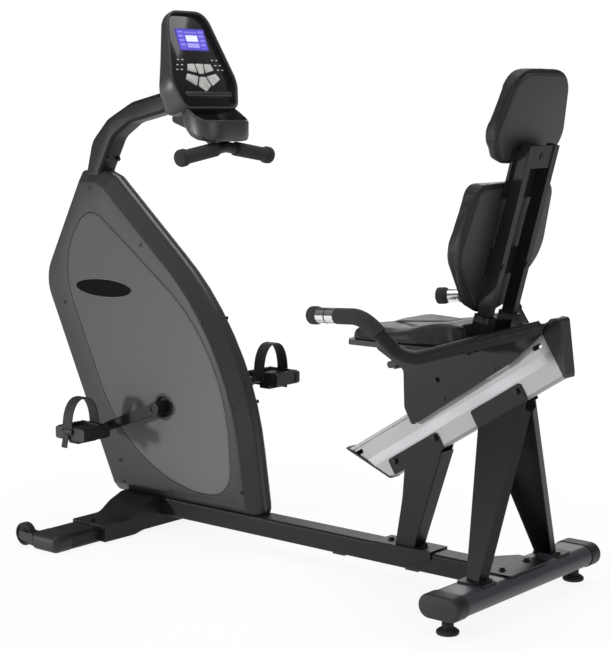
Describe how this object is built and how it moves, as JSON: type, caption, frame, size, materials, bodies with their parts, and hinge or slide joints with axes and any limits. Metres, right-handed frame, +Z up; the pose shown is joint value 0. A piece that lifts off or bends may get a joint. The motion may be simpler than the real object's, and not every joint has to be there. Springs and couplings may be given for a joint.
{
  "type": "recumbent exercise bike",
  "caption": "Recumbent exercise bike with a sliding seat and padded back, closed magnetic drive, strapped pedals, tilted console with tray, pulse grips and levelling feet.",
  "frame": {"origin": "middle of the bounding box's bottom face, on the floor", "axes": "+X points to the rear, away from the console; +Y points to the rider's right; +Z is up"},
  "size_m": [1.5164, 0.706, 1.2444],
  "materials": {
    "frame_paint": "satin powder coat",
    "tube_grey": "satin powder coat",
    "black_plastic": "fine grain",
    "shroud_plastic": "fine grain",
    "panel_plastic": "smooth painted",
    "badge_plastic": "gloss",
    "rail_aluminium": "bright anodised",
    "black_steel": "black oxide",
    "bright_steel": "turned",
    "cast_iron": "painted casting",
    "belt_rubber": "matt",
    "arm_aluminium": "die cast",
    "motor_plastic": "matt",
    "console_plastic": "fine grain",
    "face_plastic": "gloss",
    "lcd_glass": "clear over a lit display",
    "board_green": "solder mask",
    "key_rubber": "matt",
    "foam": "closed cell foam",
    "chrome": "polished",
    "slider_plastic": "acetal",
    "vinyl": "embossed vinyl",
    "back_plastic": "fine grain",
    "foot_rubber": "matt"
  },
  "bodies": {
    "frame": {"main_beam": "frame_paint", "front_stabiliser": "frame_paint", "front_end_caps": "black_plastic", "front_saddle": "frame_paint", "rear_stabiliser": "tube_grey", "rear_end_caps": "black_plastic", "front_leg": "frame_paint", "rear_legs": "frame_paint", "rail": "rail_aluminium", "rail_front_cap": "black_plastic", "rail_rear_cover": "black_plastic", "frame_fasteners": "black_steel", "inner_frame": "frame_paint", "mast": "frame_paint", "shroud_left": "shroud_plastic", "shroud_right": "shroud_plastic", "side_panels": "panel_plastic", "badges": "badge_plastic", "crank_bearings": "bright_steel", "drive_belt": "belt_rubber", "tension_motor": "motor_plastic", "power_inlet": "black_plastic", "console_back": "console_plastic", "console_face": "face_plastic", "lcd_lens": "lcd_glass", "console_board": "board_green", "grip_bar": "frame_paint", "bar_foams": "foam"},
    "crank": {"crank_axle": "bright_steel", "crank_arms": "black_steel", "drive_pulley": "arm_aluminium"},
    "left_pedal": {"pedal_left": "black_plastic", "pedal_strap_left": "belt_rubber"},
    "right_pedal": {"pedal_right": "black_plastic", "pedal_strap_right": "belt_rubber"},
    "flywheel_rotor": {"flywheel": "cast_iron"},
    "brake_arm": {"magnet_arm": "arm_aluminium"},
    "left_wheel": {"transport_wheel_left": "foot_rubber"},
    "right_wheel": {"transport_wheel_right": "foot_rubber"},
    "left_foot": {"levelling_foot_left": "foot_rubber"},
    "right_foot": {"levelling_foot_right": "foot_rubber"},
    "seat": {"seat_carriage": "frame_paint", "carriage_sliders": "slider_plastic", "seat_shell": "black_plastic", "seat_cushion": "vinyl", "side_bars": "frame_paint", "side_bar_grips": "foam", "pulse_sensors": "chrome", "seat_fasteners": "black_steel", "backrest_frame": "frame_paint", "lower_pad": "vinyl", "head_pad": "vinyl", "pad_backs": "back_plastic"},
    "lever": {"release_lever": "black_plastic"},
    "button_1": {"key_1": "key_rubber"},
    "button_2": {"key_2": "key_rubber"},
    "button_3": {"key_3": "key_rubber"},
    "button_4": {"key_4": "key_rubber"},
    "button_5": {"key_5": "key_rubber"},
    "button_6": {"key_6": "key_rubber"}
  },
  "joints": [
    {"name": "crank_spin", "type": "hinge", "parent": "frame", "child": "crank", "pos_m": [-0.32426, 0, 0.3102], "axis": [0, 1, 0], "continuous": true},
    {"name": "flywheel_spin", "type": "hinge", "parent": "frame", "child": "flywheel_rotor", "pos_m": [-0.38376, 0, 0.56], "axis": [0, 1, 0], "continuous": true},
    {"name": "left_pedal_spin", "type": "hinge", "parent": "crank", "child": "left_pedal", "pos_m": [-0.48742, -0.1615, 0.24692], "axis": [0, 1, 0], "continuous": true},
    {"name": "right_pedal_spin", "type": "hinge", "parent": "crank", "child": "right_pedal", "pos_m": [-0.1611, 0.1615, 0.37348], "axis": [0, 1, 0], "continuous": true},
    {"name": "brake_swing", "type": "hinge", "parent": "frame", "child": "brake_arm", "pos_m": [-0.48988, 0, 0.62376], "axis": [0, -1, 0], "range_deg": [0, 6]},
    {"name": "left_wheel_spin", "type": "hinge", "parent": "frame", "child": "left_wheel", "pos_m": [-0.49726, -0.337, 0.029], "axis": [0, 1, 0], "continuous": true},
    {"name": "right_wheel_spin", "type": "hinge", "parent": "frame", "child": "right_wheel", "pos_m": [-0.49726, 0.337, 0.029], "axis": [0, 1, 0], "continuous": true},
    {"name": "left_foot_turn", "type": "hinge", "parent": "frame", "child": "left_foot", "pos_m": [0.63624, -0.239, 0], "axis": [0, 0, 1], "range_deg": [-180, 180]},
    {"name": "right_foot_turn", "type": "hinge", "parent": "frame", "child": "right_foot", "pos_m": [0.63624, 0.239, 0], "axis": [0, 0, 1], "range_deg": [-180, 180]},
    {"name": "seat_slide", "type": "slide", "parent": "frame", "child": "seat", "axis": [0.848, 0, 0.5299], "range_m": [-0.1, 0.075]},
    {"name": "lever_pull", "type": "hinge", "parent": "seat", "child": "lever", "pos_m": [0.39624, 0.033, 0.512], "axis": [0, 1, 0], "range_deg": [0, 16], "stiffness_Nm_per_rad": 2, "springref_deg": -11.46},
    {"name": "key_1_press", "type": "slide", "parent": "frame", "child": "button_1", "axis": [-0.9367, 0, -0.3502], "range_m": [0, 0.001], "stiffness_N_per_m": 600, "springref_m": -0.0008},
    {"name": "key_2_press", "type": "slide", "parent": "frame", "child": "button_2", "axis": [-0.9367, 0, -0.3502], "range_m": [0, 0.001], "stiffness_N_per_m": 600, "springref_m": -0.0008},
    {"name": "key_3_press", "type": "slide", "parent": "frame", "child": "button_3", "axis": [-0.9367, 0, -0.3502], "range_m": [0, 0.001], "stiffness_N_per_m": 600, "springref_m": -0.0008},
    {"name": "key_4_press", "type": "slide", "parent": "frame", "child": "button_4", "axis": [-0.9367, 0, -0.3502], "range_m": [0, 0.001], "stiffness_N_per_m": 600, "springref_m": -0.0008},
    {"name": "key_5_press", "type": "slide", "parent": "frame", "child": "button_5", "axis": [-0.9367, 0, -0.3502], "range_m": [0, 0.001], "stiffness_N_per_m": 600, "springref_m": -0.0008},
    {"name": "key_6_press", "type": "slide", "parent": "frame", "child": "button_6", "axis": [-0.9367, 0, -0.3502], "range_m": [0, 0.001], "stiffness_N_per_m": 600, "springref_m": -0.0008}
  ],
  "couplings": [
    {"joint": "crank_spin", "follows": "flywheel_spin", "ratio": 0.2}
  ]
}
